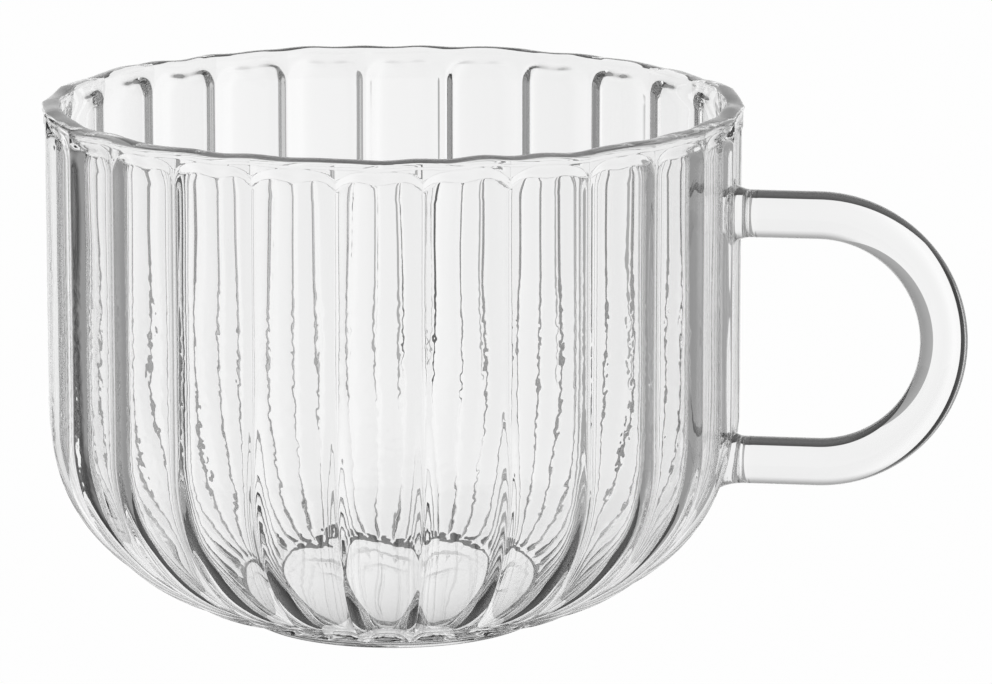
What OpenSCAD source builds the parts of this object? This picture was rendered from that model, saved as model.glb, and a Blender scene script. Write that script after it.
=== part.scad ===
// Chai glass: a fluted blown-glass bowl with a bent glass-rod handle welded to its side.
// Narrow ribs stand between the flutes, and the handle is welded into the middle of one flute.
// Millimetres, +Z up. The origin is on the table, on the bowl's axis, and the handle points along +X.

/* [Bowl] */
// Outside diameter over the ribs
bowl_d = 95.8; // [84:0.1:110]
// Height from the table to the top of the lip
bowl_h = 72.2; // [66:0.1:90]
// Height at which the rounded bottom becomes the straight wall
corner_h = 29; // [22:0.5:36]
// Thickness of the straight wall at the ribs
wall_t = 2.2; // [1.8:0.1:3.2]
// Thickness of the flat floor in the middle of the bottom
floor_t = 4.1; // [2.5:0.1:6]
// Thickness that the rounded bottom would thin down to if it ran on under the floor
corner_t = 2; // [1.6:0.1:2.4]

/* [Foot] */
// Diameter of the flat foot that stands on the table
foot_d = 40; // [30:0.5:50]
// Height of the foot below the flutes
foot_h = 0.95; // [0.6:0.05:2]
// Width of the ledge between the foot and the start of the flutes
foot_ledge = 0.5; // [0.3:0.1:1.5]

/* [Flutes] */
// Number of flutes round the bowl
flute_count = 26; // [16:1:34]
// Depth of the flutes between the ribs on the straight wall
flute_depth = 1.2; // [0.4:0.05:1.4]

/* [Lip] */
// Radius of the fire-polished edges of the lip
lip_round = 0.7; // [0.4:0.05:0.8]
// Depth of the flutes that is left at the lip
lip_scallop = 0.25; // [0.1:0.05:0.4]
// Height below the lip over which the flutes fade out
fade_h = 3; // [2:0.1:6]

/* [Handle] */
// Diameter of the glass rod
rod_d = 6.5; // [5:0.1:8]
// Distance between the centre lines of the two legs
leg_spacing = 34.2; // [28:0.1:40]
// Distance from the top of the lip down to the centre line of the upper leg
handle_drop = 14.7; // [11:0.1:18]
// Distance from the bowl's straight wall to the start of the bend
leg_len = 10.5; // [6:0.1:20]

/* [Welds] */
// Radius of the fillet that flares each weld out from the rod
weld_fillet = 1.4; // [0.8:0.1:2.5]

/* [Hidden] */
$fn = 180;

// How far a cut runs past the face that it opens
overrun = 1;
// Facets across one flute, rows up the rounded bottom, rows of the fade and steps of a round edge
flute_facets = 6;
corner_rows = 10;
fade_rows = 3;
round_steps = 4;
// Share of the rounded bottom, from the foot, over which the flutes reach their depth
start_share = 0.12;
// How narrow the ribs are: a higher power makes a flatter flute with a thinner rib
rib_power = 6;
glass = [0.86, 0.92, 0.92, 0.45];

bowl_r = bowl_d / 2;
foot_r = foot_d / 2;
rod_r = rod_d / 2;
inner_r = bowl_r - wall_t;

// The rounded bottom is part of an ellipse that leaves the foot's ledge and ends upright on the wall
start_r = foot_r + foot_ledge;
start_sin = 1 - foot_h / corner_h;
start_angle = asin(start_sin);
corner_w = (bowl_r - start_r) / (1 - cos(start_angle));
corner_axis_r = bowl_r - corner_w;

upper_z = bowl_h - handle_drop;
lower_z = upper_z - leg_spacing;
handle_z = (upper_z + lower_z) / 2;
bend_x = bowl_r + leg_len;
weld_r = rod_r + weld_fillet;
// Each weld is cut to the wall from a root that reaches this far into it
weld_root = rod_d;

// Radius over the ribs at a height on the wall or on the rounded bottom
function rib_r(z) = z >= corner_h
    ? bowl_r
    : corner_axis_r + corner_w * sqrt(1 - pow((corner_h - z) / corner_h, 2));

// A smooth step from 0 to 1
function ease(t) = t <= 0 ? 0 : t >= 1 ? 1 : t * t * (3 - 2 * t);

// A row of the fluted skin: [radius over the ribs, height, radial and vertical part of the way in, depth]
function corner_row(i) =
    let (
        share = i / corner_rows,
        a = start_angle * (1 - share),
        r = corner_axis_r + corner_w * cos(a),
        way = [-cos(a) / corner_w, sin(a) / corner_h],
        unit = way / norm(way)
    )
    [r, corner_h * (1 - sin(a)), unit[0], unit[1], flute_depth * r / bowl_r * ease(share / start_share)];

function fade_row(i) =
    let (share = i / fade_rows)
    [bowl_r, bowl_h - lip_round - fade_h * (1 - share), -1, 0,
        flute_depth + (lip_scallop - flute_depth) * ease(share)];

function lip_row(i) =
    let (a = 90 * i / round_steps)
    [bowl_r - lip_round * (1 - cos(a)), bowl_h - lip_round * (1 - sin(a)), -1, 0, lip_scallop];

skin_rows = concat(
    [for (i = [0 : corner_rows]) corner_row(i)],
    [for (i = [0 : fade_rows]) fade_row(i)],
    [for (i = [1 : round_steps]) lip_row(i)]
);

// Each flute falls away quickly from the rib on either side and is nearly flat in its middle
columns = flute_count * flute_facets;
function flute_share(k) = 1 - pow(2 * (k % flute_facets) / flute_facets - 1, rib_power);
function column_angle(k) = 360 * (k / flute_facets - 0.5) / flute_count;

function skin_point(row, k) =
    let (
        sink = row[4] * flute_share(k),
        r = row[0] + row[2] * sink
    )
    [r * cos(column_angle(k)), r * sin(column_angle(k)), row[1] + row[3] * sink];

// The bowl's outside as one filled body, from the ledge to the lip
module fluted_body() {
    last = len(skin_rows) - 1;
    points = [for (row = skin_rows) for (k = [0 : columns - 1]) skin_point(row, k)];
    sides = [
        for (i = [0 : last - 1]) for (k = [0 : columns - 1])
            let (
                low = i * columns,
                high = low + columns,
                next = (k + 1) % columns
            )
            each [[low + k, high + k, high + next], [low + k, high + next, low + next]]
    ];
    bottom = [for (k = [0 : columns - 1]) k];
    top = [for (k = [columns - 1 : -1 : 0]) last * columns + k];
    polyhedron(points, concat(sides, [bottom, top]));
}

// The foot, which runs up into the bottom glass
module foot() {
    cylinder(r = foot_r, h = floor_t - foot_h);
}

// The inside: a flat floor, a round bottom, a straight wall and the lip's round inner edge
module hollow() {
    inner_w = inner_r - corner_axis_r;
    inner_h = corner_h - corner_t;
    floor_angle = asin((corner_h - floor_t) / inner_h);
    curve = [
        for (i = [0 : corner_rows])
            let (a = floor_angle * (1 - i / corner_rows))
            [corner_axis_r + inner_w * cos(a), corner_h - inner_h * sin(a)]
    ];
    edge = [
        for (i = [0 : round_steps])
            let (a = 90 * i / round_steps)
            [inner_r + lip_round * (1 - cos(a)), bowl_h - lip_round * (1 - sin(a))]
    ];
    top_z = bowl_h + overrun;
    rotate_extrude()
        polygon(concat([[0, floor_t]], curve, edge, [[inner_r + lip_round, top_z], [0, top_z]]));
}

module bowl() {
    color(glass)
        difference() {
            union() {
                fluted_body();
                foot();
            }
            hollow();
        }
}

// One straight leg of the handle, from its weld to the bend
module leg(z) {
    start_x = rib_r(z) + weld_fillet;
    translate([start_x, 0, z])
        rotate([0, 90, 0])
            cylinder(r = rod_r, h = bend_x - start_x);
}

module handle() {
    color(glass)
        union() {
            leg(upper_z);
            leg(lower_z);
            translate([bend_x, 0, handle_z])
                rotate([90, 0, 0])
                    rotate([0, 0, -90])
                        rotate_extrude(angle = 180)
                            translate([leg_spacing / 2, 0])
                                circle(r = rod_r);
        }
}

// The flared foot where a leg's end is melted onto the bowl: it fills the flute behind it up to the ribs
module weld(z) {
    color(glass)
        difference() {
            translate([rib_r(z), 0, z])
                rotate([0, 90, 0])
                    rotate_extrude()
                        difference() {
                            translate([0, -weld_root])
                                square([weld_r, weld_root + weld_fillet]);
                            translate([weld_r, weld_fillet])
                                circle(r = weld_fillet);
                        }
            fluted_body();
        }
}

module upper_weld() {
    weld(upper_z);
}

module lower_weld() {
    weld(lower_z);
}

bowl();
handle();
upper_weld();
lower_weld();
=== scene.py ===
import math

import bpy
import numpy as np
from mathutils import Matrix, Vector
from mathutils.bvhtree import BVHTree


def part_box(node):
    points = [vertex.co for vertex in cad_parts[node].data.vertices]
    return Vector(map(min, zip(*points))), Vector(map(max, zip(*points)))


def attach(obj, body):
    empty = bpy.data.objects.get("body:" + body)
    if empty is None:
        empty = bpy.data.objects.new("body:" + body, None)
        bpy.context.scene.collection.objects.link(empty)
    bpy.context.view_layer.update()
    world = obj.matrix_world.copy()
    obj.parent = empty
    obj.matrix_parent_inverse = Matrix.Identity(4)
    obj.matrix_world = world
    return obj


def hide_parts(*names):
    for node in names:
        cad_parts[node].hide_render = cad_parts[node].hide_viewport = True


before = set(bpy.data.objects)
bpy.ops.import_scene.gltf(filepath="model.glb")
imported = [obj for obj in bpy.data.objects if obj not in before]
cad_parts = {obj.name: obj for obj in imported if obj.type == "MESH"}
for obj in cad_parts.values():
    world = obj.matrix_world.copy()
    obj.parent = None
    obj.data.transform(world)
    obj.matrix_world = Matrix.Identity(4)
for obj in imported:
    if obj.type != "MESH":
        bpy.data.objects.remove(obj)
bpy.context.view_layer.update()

MM = 0.001
rng = np.random.default_rng(26)

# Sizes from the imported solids, in metres
bowl_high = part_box("bowl")[1]
handle_low, handle_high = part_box("handle")
BOWL_R = bowl_high.y
BOWL_H = bowl_high.z
ROD_R = handle_high.y
UPPER_Z = handle_high.z - ROD_R
LOWER_Z = handle_low.z + ROD_R
HANDLE_Z = (UPPER_Z + LOWER_Z) / 2
BEND_R = (UPPER_Z - LOWER_Z) / 2
BEND_X = handle_high.x - ROD_R - BEND_R

# Driving dimensions of the CAD part
CORNER_H = 29 * MM
FOOT_R = 20 * MM
FOOT_H = 0.95 * MM
FOOT_LEDGE = 0.5 * MM
WALL_T = 2.2 * MM
FLOOR_T = 4.1 * MM
CORNER_T = 2.0 * MM
FLUTES = 26
WELD_FILLET = 1.4 * MM

# The photograph's camera, found from the outline, the rim and the ribs
PHOTO_W = 992
PHOTO_H = 684
FOCAL_PX = 6530
AXIS_PX = (393.6, 356.8)
CAMERA_AZIMUTH = math.radians(9.1)
CAMERA_ELEVATION = math.radians(11.94)
CAMERA_DISTANCE = 0.8962
SENSOR_MM = 36

# Flutes of the wall: a soft wave with a narrow rib; widths are shares of half a flute
WAVE_H = 0.5 * MM
WAVE_W_SHARE = 0.55
WAVE_SIDE_SHARE = 0.3
WAVE_TOP_SHARE = 0.28
WAVE_LOW_Z = 42 * MM
WAVE_HIGH_Z = 64 * MM
RIB_H = 0.95 * MM
RIB_W_SHARE = 0.165
RIB_POWER = 1.7
RIB_SPREAD_SHARE = 0.1
TURN_SPREAD = 0.015
TURN_WAVES = (2, 9)

# Ribs differ round the bowl: soft at the front, wide and low at the sides, wide and high at the back
# The front faced the photograph's camera, and an edge is the cosine of an angle from there
FRONT = CAMERA_AZIMUTH - math.pi / 2
FRONT_DROP_SHARE = 0.8
FRONT_EDGE = 0.75
FRONT_FULL = 0.95
FRONT_LOW_Z = 16 * MM
FRONT_HIGH_Z = 40 * MM
SIDE_EDGE = 0.55
SIDE_POWER = 4
SIDE_WIDER_SHARE = 1.6
SIDE_DROP_SHARE = 0.4
BACK_EDGE = 0.2
BACK_SPAN = 0.5
BACK_WIDER_SHARE = 0.35
BACK_HIGHER_SHARE = 0.45

# Rounder flutes low on the bottom, and how the flutes start at the foot's ledge
ROUND_H = 0.8 * MM
ROUND_TOP_Z = 28 * MM
ROUND_FULL_Z = 8 * MM
ROUND_POWER = 3
START_SHARE = 0.1
CORNER_DEPTH_POWER = -0.4

# Lip: a bead whose top slopes outward; below it the flutes end under arches
LIP_R = 0.65 * MM
LIP_W = 1.8 * MM
LIP_T = 2.8 * MM
LIP_SCALLOP = 0.25 * MM
LIP_FLARE_H = 5.0 * MM
NECK_DEPTH = 0.2 * MM
NECK_TOP = 0.65 * MM
NECK_LOW = 1.3 * MM
ARCH_TOP = 1.2 * MM
ARCH_H = 2.0 * MM
ARCH_POWER = 4
FADE_H = 1.0 * MM
FADE_MORE = 1.4 * MM
FADE_POWER = 1.2
FAN_SHARE = 1.0
FAN_H = 4.0 * MM
RIM_SWAY = 0.3 * MM
RIM_SWAY_H = 8 * MM
RIM_WAVES = (4, 40)

# Inside: slow waves that blowing leaves, calm near the lip, and the blend into the floor
INNER_SWAY = 0.012 * MM
INNER_WAVES = range(4, 30, 2)
INNER_RATES = (0.15 / MM, 0.55 / MM)
INNER_START_MAX = 6.28
INNER_CALM_H = 2 * MM
INNER_CALM_SPAN = 12 * MM
FLOOR_BLEND = 1.0 * MM

# Foot: rounded at its edge and slightly hollow below
FOOT_EDGE_R = 0.35 * MM
FOOT_HOLLOW = 0.35 * MM
FOOT_HOLLOW_SHARE = 0.9
FOOT_FIRST_SHARE = 0.15
FOOT_LAST_SHARE = 0.96

# Clear glass, with a fine uneven skin that fades out towards the lip, the foot and both sides
PEEL_SIZE = 1.1 * MM
PEEL_DEPTH = 0.019 * MM
PEEL_DETAIL = 0.5
PEEL_TOP_Z = 60 * MM
PEEL_TOP_FULL_Z = 46 * MM
PEEL_LOW_Z = 14 * MM
PEEL_LOW_FULL_Z = 30 * MM
PEEL_SIDE_X = 47 * MM
PEEL_SIDE_FULL_X = 38 * MM
GLASS_IOR = 1.47

# Where two pieces of glass are melted together a hair of space keeps the faces apart
SEAM = 0.01 * MM

# Rays that find the bowl's wall behind a weld start out here
RAY_START_X = 1.2 * BOWL_R

# Mesh fineness: columns of half a flute, and rows of each stretch of the bowl, the rod and the welds
HALF_COLUMNS = 13
CROWDING = 1.7
FOOT_ROWS = 7
FOOT_EDGE_ROWS = 5
CORNER_ROWS = 40
WALL_ROWS = 10
ARCH_ROWS = 12
NECK_ROWS = 14
LIP_ROWS = 9
INNER_TOP_ROWS = 10
INNER_WALL_ROWS = 8
INNER_CORNER_ROWS = 28
ARCH_SPAN = 6.5 * MM
NECK_SPAN = 1.9 * MM
INNER_TOP_SPAN = 5.5 * MM
FLOOR_RING_SHARES = (0.7, 0.4, 0.15)
AROUND = 96
LEG_ROWS = 14
BEND_ROWS = 97
WELD_ROWS = 20
WELD_BACK_SHARES = (0.2, 0.45, 0.7, 0.9)

# Brightness of the light tent by angle from the line of sight, in degrees
TENT_R = 30.0
TENT_STEP = 10
TENT_LOW = -27
TENT_TOP_FULL = 63
TENT_TOP_GLOW = 0.45
ACROSS = [
    (-180, 0.6), (-120, 0.2), (-112, 0.3), (-60, 0.3), (-50, 0.3), (-40, 0.04), (-28.4, 0.04),
    (-28, 1.0), (-12, 1.0), (-6, 0.95), (-2, 0.92), (4, 0.905), (10, 0.92), (21.5, 0.95),
    (21.9, 0.42), (40, 0.33), (60, 0.3), (112, 0.3), (120, 0.6), (180, 0.6),
]
UP = [(31, 1.0), (39, 0.93), (48, 0.72), (55, 0.6), (63, 0.51), (90, 0.4)]
DOWN = [(-90, 0.05), (-55, 0.05), (-40, 0.1), (-30, 0.06), (-27.4, 0.06)]

# Floor and light paths
FLOOR_HALF = 6.0
FLOOR_DROP = 0.2 * MM
FLOOR_PALE = 0.99
BOUNCES = 32
GLOSSY_BOUNCES = 16

# The rounded bottom is part of an ellipse, as in the CAD part
START_R = FOOT_R + FOOT_LEDGE
START_ANGLE = math.asin(1 - FOOT_H / CORNER_H)
CORNER_W = (BOWL_R - START_R) / (1 - math.cos(START_ANGLE))
CORNER_AXIS_R = BOWL_R - CORNER_W
INNER_R = BOWL_R - WALL_T
INNER_W = INNER_R - CORNER_AXIS_R
INNER_H = CORNER_H - CORNER_T


def ease(t):
    """A smooth step from 0 to 1."""
    t = np.clip(t, 0, 1)
    return t * t * (3 - 2 * t)


def sway(turn, low, high):
    """A smooth irregular wave around the bowl, between -1 and 1."""
    wave = np.zeros_like(turn)
    for n in range(low, high):
        wave += rng.normal() * np.sin(2 * math.pi * n * turn / FLUTES + rng.uniform(0, 2 * math.pi))
    return wave / np.abs(wave).max()


def column_turns():
    """The mesh's columns, counted in flutes and closer together near the ribs."""
    half = (np.arange(HALF_COLUMNS) / HALF_COLUMNS) ** CROWDING / 2
    flute = np.concatenate([half, [0.5], 1 - half[:0:-1]])
    return np.concatenate([k + 0.5 + flute for k in range(FLUTES)])


# Values for each column; from_rib is 0 on a rib and 1 in the middle of a flute
turn = column_turns()
from_rib = 1 - 2 * np.abs(turn - np.round(turn))
rib_drop = (RIB_SPREAD_SHARE * rng.uniform(0, 1, FLUTES))[np.floor(turn).astype(int) % FLUTES]
angle = 2 * math.pi * (turn + TURN_SPREAD * sway(turn, *TURN_WAVES)) / FLUTES
facing = np.cos(angle - FRONT)
front = ease((facing - FRONT_EDGE) / (FRONT_FULL - FRONT_EDGE))
side = np.exp(-(facing / SIDE_EDGE) ** SIDE_POWER)
back = ease((-facing - BACK_EDGE) / BACK_SPAN)
wave_share = WAVE_SIDE_SHARE + (1 - WAVE_SIDE_SHARE) * front
rib_w = RIB_W_SHARE * (1 + SIDE_WIDER_SHARE * side + BACK_WIDER_SHARE * back)
rib_h = RIB_H * (1 + BACK_HIGHER_SHARE * back)
rim_sway = RIM_SWAY * (sway(turn, *RIM_WAVES) - 1)
lip_sink = LIP_SCALLOP * (1 - (1 - from_rib) ** 2)
no_sink = np.zeros_like(turn)
inner_waves = [
    (rng.normal(), n, rng.uniform(*INNER_RATES), rng.uniform(0, INNER_START_MAX)) for n in INNER_WAVES
]

# The way in from the upright wall, as its radial and vertical part
IN = (-1.0, 0.0)


def slow_waves(z):
    """Slow uneven waves of the inside at one height, calmer near the lip."""
    wave = sum(size * np.sin(n * angle + rate * z + start) for size, n, rate, start in inner_waves)
    return INNER_SWAY * wave * float(ease((BOWL_H - z - INNER_CALM_H) / INNER_CALM_SPAN))


def wall_flutes(z, fan, more):
    """How deep the wall's flutes are; fan widens the ribs, more deepens the soft wave."""
    softened = FRONT_DROP_SHARE * front * float(ease((z - FRONT_LOW_Z) / (FRONT_HIGH_Z - FRONT_LOW_Z)))
    drop = np.maximum(np.maximum(rib_drop, softened), SIDE_DROP_SHARE * side)
    rib = (1 - drop) * np.exp(-(from_rib / (rib_w * (1 + fan))) ** RIB_POWER)
    wave = 1 - np.exp(-(from_rib / WAVE_W_SHARE) ** 2)
    return WAVE_H * (1 + more) * wave_share * wave + rib_h * (1 - rib)


def flute_sink(z, fan, more):
    """The wall's flutes, which turn rounder low on the bottom."""
    round_share = float(ease((ROUND_TOP_Z - z) / (ROUND_TOP_Z - ROUND_FULL_Z)))
    hollow = ROUND_H * (1 - (1 - from_rib) ** ROUND_POWER)
    return (1 - round_share) * wall_flutes(z, fan, more) + round_share * hollow


def outer_sink(z, share):
    """How far the outside lies in from the ribs at one height, with the arches below the lip."""
    down = BOWL_H - z
    neck = NECK_DEPTH * float(ease((down - NECK_TOP) / (NECK_LOW - NECK_TOP)))
    fan = FAN_SHARE * float(ease((ARCH_TOP + FAN_H - down) / FAN_H))
    start = ARCH_TOP + ARCH_H * (1 - from_rib) ** ARCH_POWER
    full = ease((down - start) / (FADE_H + FADE_MORE * from_rib ** FADE_POWER))
    more = WAVE_TOP_SHARE * float(ease((z - WAVE_LOW_Z) / (WAVE_HIGH_Z - WAVE_LOW_Z)))
    return share * (full * flute_sink(z, fan, more) + (1 - full) * (neck + lip_sink))


def ring(r, z, way, sink):
    """One ring of points: moved in by sink along the way given, with the rim's sway near the top."""
    rr = r + way[0] * sink
    zz = z + way[1] * sink + rim_sway * ease((z - BOWL_H + RIM_SWAY_H) / RIM_SWAY_H)
    return np.stack([rr * np.cos(angle), rr * np.sin(angle), zz], axis=1)


def way_in(a, width, height):
    """The unit way in, at an angle on an ellipse of the rounded bottom."""
    way = np.array([-math.cos(a) / width, math.sin(a) / height])
    return way / np.linalg.norm(way)


def angles(first, last, count):
    """Evenly spaced angles, given in degrees."""
    return np.radians(np.linspace(first, last, count))


def stretches(*ends):
    """Heights from the first end to each next one, given with its number of rows."""
    heights = []
    here = ends[0]
    for there, rows in ends[1:]:
        heights += list(np.linspace(here, there, rows)[1:])
        here = there
    return heights


def foot_rings():
    """The foot's underside, from near its middle out to the rounded edge."""
    rings = []
    for share in np.linspace(FOOT_FIRST_SHARE, FOOT_LAST_SHARE, FOOT_ROWS):
        lift = FOOT_HOLLOW * float(1 - ease(share / FOOT_HOLLOW_SHARE))
        rings.append(ring(FOOT_R * share, lift, IN, no_sink))
    for a in angles(0, 90, FOOT_EDGE_ROWS):
        r = FOOT_R - FOOT_EDGE_R * (1 - math.sin(a))
        rings.append(ring(r, FOOT_EDGE_R * (1 - math.cos(a)), IN, no_sink))
    return rings


def corner_rings():
    """The fluted outside of the rounded bottom, from the foot's ledge up to the wall."""
    rings = []
    for share in np.linspace(0, 1, CORNER_ROWS):
        a = START_ANGLE * (1 - share)
        r = CORNER_AXIS_R + CORNER_W * math.cos(a)
        z = CORNER_H * (1 - math.sin(a))
        depth_share = (r / BOWL_R) ** CORNER_DEPTH_POWER * ease(share / START_SHARE)
        rings.append(ring(r, z, way_in(a, CORNER_W, CORNER_H), outer_sink(z, depth_share)))
    return rings


def wall_rings():
    """The outside from the rounded bottom up to the top of the lip."""
    lip_low = BOWL_H - LIP_R
    arch_z, neck_z = lip_low - ARCH_SPAN, lip_low - NECK_SPAN
    heights = stretches(CORNER_H, (arch_z, WALL_ROWS), (neck_z, ARCH_ROWS), (lip_low, NECK_ROWS))
    rings = [ring(BOWL_R, z, IN, outer_sink(z, 1)) for z in heights]
    for a in angles(0, 90, LIP_ROWS)[1:]:
        r = BOWL_R - LIP_W * (1 - math.cos(a))
        rings.append(ring(r, BOWL_H - LIP_R * (1 - math.sin(a)), IN, lip_sink))
    return rings


def inner_wall_rings():
    """The inside from the top of the lip down to the rounded bottom."""
    rings = []
    lip_in = LIP_T - LIP_W
    for a in angles(90, 0, LIP_ROWS)[1:]:
        r = BOWL_R - LIP_T + lip_in * (1 - math.cos(a))
        rings.append(ring(r, BOWL_H - LIP_R * (1 - math.sin(a)), IN, lip_sink * math.sin(a)))
    lip_low = BOWL_H - LIP_R
    for z in stretches(lip_low, (lip_low - INNER_TOP_SPAN, INNER_TOP_ROWS), (CORNER_H, INNER_WALL_ROWS)):
        flare = ease((z - BOWL_H + LIP_FLARE_H) / (LIP_FLARE_H - LIP_R))
        rings.append(ring(INNER_R, z, IN, flare * (LIP_T - WALL_T) + slow_waves(z)))
    return rings


def inner_bottom_rings():
    """The inside's rounded bottom, which blends into the flat floor."""
    rings = []
    for a in angles(0, 90, INNER_CORNER_ROWS)[1:]:
        r = CORNER_AXIS_R + INNER_W * math.cos(a)
        z = CORNER_H - INNER_H * math.sin(a)
        floor_z = (z + FLOOR_T + math.hypot(z - FLOOR_T, FLOOR_BLEND)) / 2
        sink = r / INNER_R * math.sqrt(math.cos(a)) * slow_waves(z)
        rings.append(ring(r, floor_z, way_in(a, INNER_W, INNER_H), sink))
    for share in FLOOR_RING_SHARES:
        rings.append(ring(CORNER_AXIS_R * share, floor_z, IN, no_sink))
    return rings


def ring_mesh(name, rings, ends):
    """A closed smooth mesh of quads between equal rings, with a fan of triangles at each end."""
    rings = np.array(rings)
    rows, count = rings.shape[:2]
    here = np.arange(count)
    after = (here + 1) % count
    faces = []
    for i in range(rows - 1):
        low, high = i * count, (i + 1) * count
        faces += np.stack([low + here, low + after, high + after, high + here], axis=1).tolist()
    last = (rows - 1) * count
    first_end = rows * count
    faces += [[first_end, int(b), int(a)] for a, b in zip(here, after)]
    faces += [[first_end + 1, int(last + a), int(last + b)] for a, b in zip(here, after)]
    mesh = bpy.data.meshes.new(name)
    mesh.from_pydata(rings.reshape(-1, 3).tolist() + [list(e) for e in ends], [], faces)
    mesh.polygons.foreach_set("use_smooth", np.ones(len(mesh.polygons), bool))
    mesh.update()
    piece = bpy.data.objects.new(name, mesh)
    bpy.context.scene.collection.objects.link(piece)
    return piece


def make_bowl():
    """The bowl as one closed skin: foot, outside, lip, inside and floor."""
    rings = foot_rings() + corner_rings() + wall_rings() + inner_wall_rings() + inner_bottom_rings()
    return ring_mesh("bowl_glass", rings, [(0, 0, FOOT_HOLLOW), (0, 0, rings[-1][0][2])])


def rod_path(start_upper, start_lower):
    """Points on the rod's centre line, each with the way along it."""
    path = [((x, 0, UPPER_Z), (1, 0, 0)) for x in np.linspace(start_upper, BEND_X, LEG_ROWS)]
    for a in angles(90, -90, BEND_ROWS)[1:]:
        centre = (BEND_X + BEND_R * math.cos(a), 0, HANDLE_Z + BEND_R * math.sin(a))
        path.append((centre, (math.sin(a), 0, -math.cos(a))))
    path += [((x, 0, LOWER_Z), (-1, 0, 0)) for x in np.linspace(BEND_X, start_lower, LEG_ROWS)[1:]]
    return path


def make_handle(start_upper, start_lower):
    """The rod, swept along its two legs and the bend."""
    path = rod_path(start_upper, start_lower)
    around = np.arange(AROUND) * 2 * math.pi / AROUND
    across = np.array([0, 1, 0])
    rings = []
    for centre, along in path:
        up = np.cross(np.array(along), across)
        circle = np.outer(np.cos(around), across) + np.outer(np.sin(around), up)
        rings.append(np.array(centre) + ROD_R * circle)
    return ring_mesh("handle_rod", rings, [path[0][0], path[-1][0]])


def make_weld(name, bowl_tree, z, end_x):
    """A flared foot of glass between the bowl's wall and the rod's end."""
    around = np.arange(AROUND) * 2 * math.pi / AROUND
    top_x = end_x - SEAM

    def wall_x(y, zz):
        hit = bowl_tree.ray_cast(Vector((RAY_START_X, y, zz)), Vector((-1, 0, 0)))[0]
        return hit.x + SEAM

    def flare_ring(rho, lift):
        points = []
        for a in around:
            y, zz = rho * math.cos(a), z + rho * math.sin(a)
            base = wall_x(y, zz)
            points.append((base + (top_x - base) * lift, y, zz))
        return points

    rings = [flare_ring((ROD_R + WELD_FILLET) * share, 0) for share in WELD_BACK_SHARES]
    for a in angles(0, 90, WELD_ROWS):
        rings.append(flare_ring(ROD_R + WELD_FILLET * (1 - math.sin(a)), 1 - math.cos(a)))
    return ring_mesh(name, rings, [(wall_x(0, z), 0, z), (top_x, 0, z)])


def map_range(tree, value, low, high):
    """A smooth mask: 0 at low and 1 at high."""
    node = tree.nodes.new("ShaderNodeMapRange")
    node.interpolation_type = "SMOOTHSTEP"
    node.inputs["From Min"].default_value = low
    node.inputs["From Max"].default_value = high
    tree.links.new(value, node.inputs["Value"])
    return node.outputs["Result"]


def multiply(tree, first, *others):
    """The product of several values."""
    for other in others:
        node = tree.nodes.new("ShaderNodeMath")
        node.operation = "MULTIPLY"
        tree.links.new(first, node.inputs[0])
        tree.links.new(other, node.inputs[1])
        first = node.outputs[0]
    return first


def skin_bump(tree):
    """The fine uneven skin, as a bump that fades out towards the lip, the foot and both sides."""
    place = tree.nodes.new("ShaderNodeTexCoord").outputs["Object"]
    split = tree.nodes.new("ShaderNodeSeparateXYZ")
    tree.links.new(place, split.inputs[0])
    masks = [
        map_range(tree, split.outputs["Z"], PEEL_TOP_Z, PEEL_TOP_FULL_Z),
        map_range(tree, split.outputs["X"], PEEL_SIDE_X, PEEL_SIDE_FULL_X),
        map_range(tree, split.outputs["X"], -PEEL_SIDE_X, -PEEL_SIDE_FULL_X),
        map_range(tree, split.outputs["Z"], PEEL_LOW_Z, PEEL_LOW_FULL_Z),
    ]
    noise = tree.nodes.new("ShaderNodeTexNoise")
    noise.inputs["Scale"].default_value = 1 / PEEL_SIZE
    noise.inputs["Detail"].default_value = PEEL_DETAIL
    tree.links.new(place, noise.inputs["Vector"])
    bump = tree.nodes.new("ShaderNodeBump")
    bump.inputs["Strength"].default_value = 1.0
    bump.inputs["Distance"].default_value = PEEL_DEPTH
    tree.links.new(multiply(tree, noise.outputs["Fac"], *masks), bump.inputs["Height"])
    return bump.outputs["Normal"]


def glass_material():
    """Clear glass with the skin that the mould leaves on the bowl."""
    mat = bpy.data.materials.new("clear_glass")
    mat.use_nodes = True
    shader = mat.node_tree.nodes["Principled BSDF"]
    shader.inputs["Base Color"].default_value = (1, 1, 1, 1)
    shader.inputs["Roughness"].default_value = 0.0
    shader.inputs["IOR"].default_value = GLASS_IOR
    shader.inputs["Transmission Weight"].default_value = 1.0
    mat.node_tree.links.new(skin_bump(mat.node_tree), shader.inputs["Normal"])
    return mat


def make_camera():
    """The photograph's camera, turned so that the bowl's axis falls where the photograph has it."""
    a, e = CAMERA_AZIMUTH, CAMERA_ELEVATION
    back_way = Vector((math.sin(a) * math.cos(e), -math.cos(a) * math.cos(e), math.sin(e)))
    right = Vector((math.cos(a), math.sin(a), 0))
    up = back_way.cross(right)
    target = Vector((0, 0, BOWL_H / 2))
    data = bpy.data.cameras.new("camera")
    data.sensor_width = SENSOR_MM
    data.lens = SENSOR_MM * FOCAL_PX / PHOTO_W
    camera = bpy.data.objects.new("camera", data)
    bpy.context.scene.collection.objects.link(camera)
    camera.location = target + back_way * CAMERA_DISTANCE
    aside = (PHOTO_W / 2 - AXIS_PX[0]) / FOCAL_PX * CAMERA_DISTANCE
    above = (AXIS_PX[1] - PHOTO_H / 2) / FOCAL_PX * CAMERA_DISTANCE
    aim = target + right * aside + up * above
    camera.rotation_mode = "QUATERNION"
    camera.rotation_quaternion = (aim - camera.location).to_track_quat("-Z", "Y")
    bpy.context.scene.camera = camera
    return camera


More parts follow.
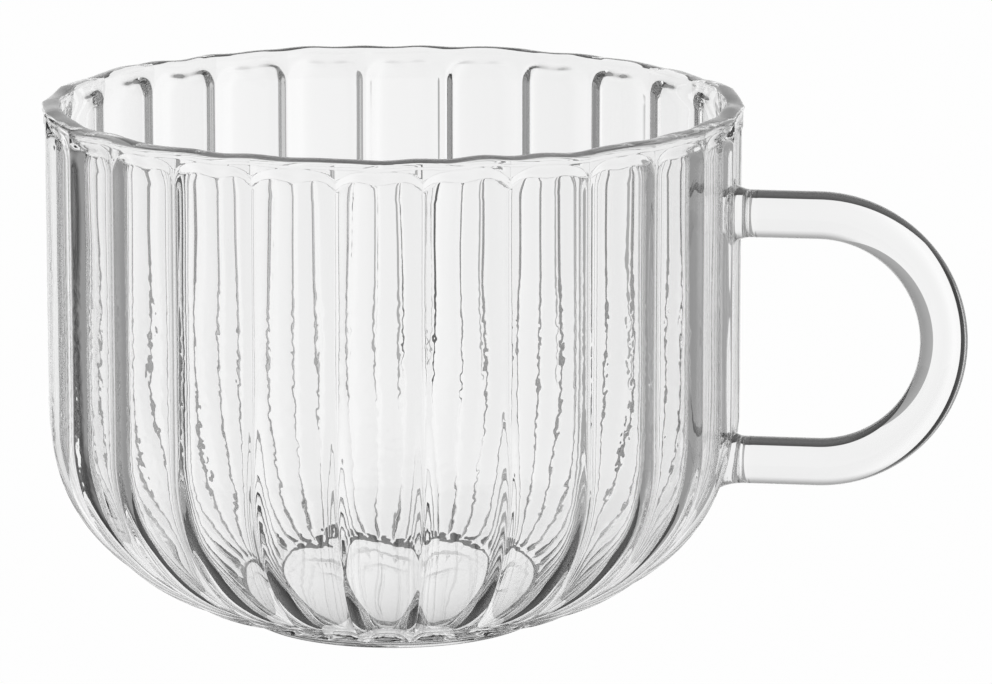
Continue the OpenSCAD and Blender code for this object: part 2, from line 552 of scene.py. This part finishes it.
def glow(h, v):
    """Brightness of the tent at an angle h to the right of the line of sight and v above it."""
    across = np.interp(h, *zip(*ACROSS))
    top_low = UP[0][0]
    if v < TENT_LOW:
        return float(np.interp(v, *zip(*DOWN)))
    if v > top_low:
        share = np.interp(v, *zip(*UP))
        top_share = np.interp(v, (top_low, TENT_TOP_FULL), (0, 1))
        return float(across * share * (1 - top_share) + top_share * TENT_TOP_GLOW)
    return float(across)


def glow_material():
    """Light whose strength is stored with the tent's points."""
    mat = bpy.data.materials.new("tent")
    mat.use_nodes = True
    nodes, links = mat.node_tree.nodes, mat.node_tree.links
    nodes.clear()
    value = nodes.new("ShaderNodeAttribute")
    value.attribute_name = "glow"
    emit = nodes.new("ShaderNodeEmission")
    out = nodes.new("ShaderNodeOutputMaterial")
    links.new(value.outputs["Fac"], emit.inputs["Strength"])
    links.new(emit.outputs[0], out.inputs["Surface"])
    return mat


def tent_point(h, v):
    """A point of the tent in the camera's own axes, round the glass."""
    a, b = math.radians(h), math.radians(v)
    ahead = TENT_R * math.cos(b) * math.cos(a) + CAMERA_DISTANCE
    return (TENT_R * math.cos(b) * math.sin(a), TENT_R * math.sin(b), -ahead)


def make_tent(camera):
    """A far round tent of light and dark panels, held by the camera so that every view is lit alike."""
    across = sorted({h for h, _ in ACROSS} | set(range(-180, 181, TENT_STEP)))
    above = sorted({v for v, _ in UP + DOWN} | {TENT_LOW} | set(range(-80, 81, TENT_STEP)))
    places = [(h, v) for v in above for h in across]
    n = len(across)
    corners = [j * n + i for j in range(len(above) - 1) for i in range(n - 1)]
    mesh = bpy.data.meshes.new("light_tent")
    panels = [(k, k + 1, k + n + 1, k + n) for k in corners]
    mesh.from_pydata([tent_point(h, v) for h, v in places], [], panels)
    strengths = [glow(h, v) for h, v in places]
    mesh.attributes.new("glow", "FLOAT", "POINT").data.foreach_set("value", strengths)
    mesh.materials.append(glow_material())
    tent = bpy.data.objects.new("light_tent", mesh)
    bpy.context.scene.collection.objects.link(tent)
    tent.parent = camera
    tent.visible_camera = False
    tent.visible_diffuse = False
    tent.visible_shadow = False


def make_world():
    """An even white sky, which lights the floor."""
    world = bpy.data.worlds.new("studio")
    bpy.context.scene.world = world
    world.use_nodes = True
    sky = world.node_tree.nodes["Background"]
    sky.inputs["Color"].default_value = (1, 1, 1, 1)
    sky.inputs["Strength"].default_value = 1.0


def make_floor():
    """A plain pale floor, which the glass neither mirrors nor shows through itself."""
    signs = [(-1, -1), (1, -1), (1, 1), (-1, 1)]
    mesh = bpy.data.meshes.new("floor")
    mesh.from_pydata([(FLOOR_HALF * x, FLOOR_HALF * y, 0) for x, y in signs], [], [(0, 1, 2, 3)])
    floor = bpy.data.objects.new("floor", mesh)
    bpy.context.scene.collection.objects.link(floor)
    mat = bpy.data.materials.new("pale_floor")
    mat.use_nodes = True
    shader = mat.node_tree.nodes["Principled BSDF"]
    shader.inputs["Base Color"].default_value = (FLOOR_PALE, FLOOR_PALE, FLOOR_PALE, 1)
    shader.inputs["Roughness"].default_value = 1.0
    shader.inputs["Specular IOR Level"].default_value = 0.0
    mesh.materials.append(mat)
    floor.location.z = -FLOOR_DROP
    floor.visible_transmission = False
    floor.visible_glossy = False


def make_pieces():
    """The four pieces of glass, by the node that each stands for."""
    bowl = make_bowl()
    bowl_tree = BVHTree.FromObject(bowl, bpy.context.evaluated_depsgraph_get())
    lower_wall = CORNER_AXIS_R + CORNER_W * math.sqrt(1 - ((CORNER_H - LOWER_Z) / CORNER_H) ** 2)
    end_upper, end_lower = BOWL_R + WELD_FILLET, lower_wall + WELD_FILLET
    return {
        "bowl": bowl,
        "handle": make_handle(end_upper, end_lower),
        "upper_weld": make_weld("upper_weld_glass", bowl_tree, UPPER_Z, end_upper),
        "lower_weld": make_weld("lower_weld_glass", bowl_tree, LOWER_Z, end_lower),
    }


def set_light_paths():
    """Enough bounces for light that runs inside the glass, and plain colours."""
    scene = bpy.context.scene
    scene.view_settings.view_transform = "Standard"
    scene.cycles.max_bounces = BOUNCES
    scene.cycles.transmission_bounces = BOUNCES
    scene.cycles.glossy_bounces = GLOSSY_BOUNCES


camera = make_camera()
make_world()
make_floor()
make_tent(camera)
pieces = make_pieces()
glass = glass_material()
for node, piece in pieces.items():
    piece.data.materials.append(glass)
    piece.visible_diffuse = False
    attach(piece, "root")
    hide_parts(node)
set_light_paths()
